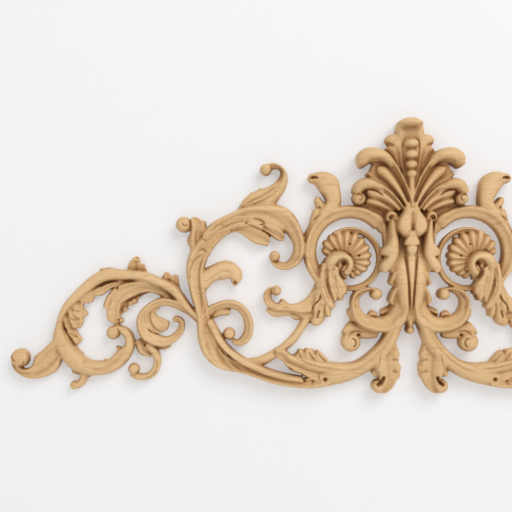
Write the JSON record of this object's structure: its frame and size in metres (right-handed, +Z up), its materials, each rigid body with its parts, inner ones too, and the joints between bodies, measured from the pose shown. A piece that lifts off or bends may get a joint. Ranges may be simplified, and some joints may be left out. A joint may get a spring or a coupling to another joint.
{
  "type": "carved scroll onlay",
  "caption": "Carved wooden onlay of leafy scrolls about a central shell and cup, with a flat back, for fixing to furniture, a door or a wall.",
  "frame": {"origin": "on the flat back, on the centre line, halfway up the onlay's height", "axes": "+X across the onlay, -Y out of the carved front, +Y into the wall or panel, +Z up"},
  "size_m": [0.801, 0.0324, 0.2748],
  "materials": {
    "carved_wood": "sanded bare wood, matt"
  },
  "bodies": {
    "root": {"scroll_onlay": "carved_wood"}
  },
  "joints": []
}
